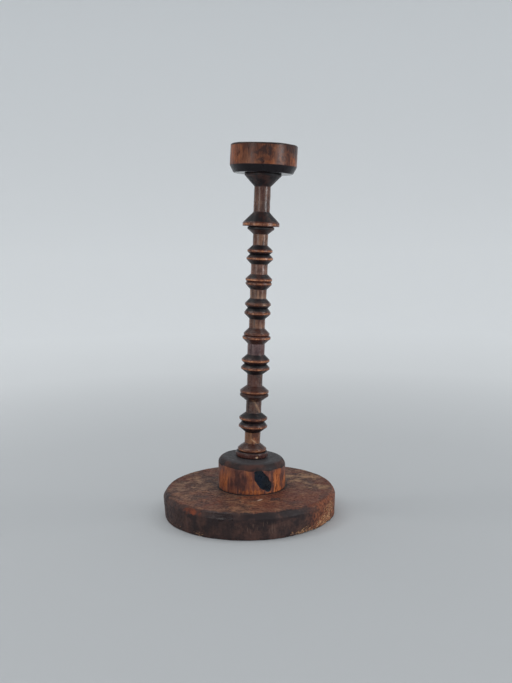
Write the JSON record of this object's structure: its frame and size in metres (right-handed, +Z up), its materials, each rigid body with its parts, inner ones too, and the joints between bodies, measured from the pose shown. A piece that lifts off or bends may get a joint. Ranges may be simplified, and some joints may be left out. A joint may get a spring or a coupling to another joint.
{
  "type": "candlestick",
  "caption": "Turned wooden candlestick: round board, pedestal block, a slightly leaning stem of spool-shaped reels threaded on a dowel, and a shallow candle cup.",
  "frame": {"origin": "centre of the base board's underside", "axes": "+Z up, +X towards the side the stem leans to, -Y towards the front"},
  "size_m": [0.1448, 0.1448, 0.3063],
  "materials": {
    "board_wood": "worn dark varnish, face grain",
    "block_wood": "worn dark varnish with a scorched knot",
    "ring_wood": "dark reddish varnish",
    "reel_wood": "dark stained, worn pale on the rims",
    "cup_wood": "satin varnish, orange brown",
    "dowel_wood": "bare",
    "screw_steel": "dull, slightly rusted"
  },
  "bodies": {
    "root": {"base_disc": "board_wood", "base_screws": "screw_steel", "pedestal_block": "block_wood", "foot_ring": "ring_wood", "stem_dowel": "dowel_wood", "reel_1": "reel_wood", "reel_2": "reel_wood", "reel_3": "reel_wood", "reel_4": "reel_wood", "reel_5": "reel_wood", "reel_6": "reel_wood", "reel_7": "reel_wood", "reel_8": "reel_wood", "top_reel": "reel_wood", "candle_cup": "cup_wood"}
  },
  "joints": []
}
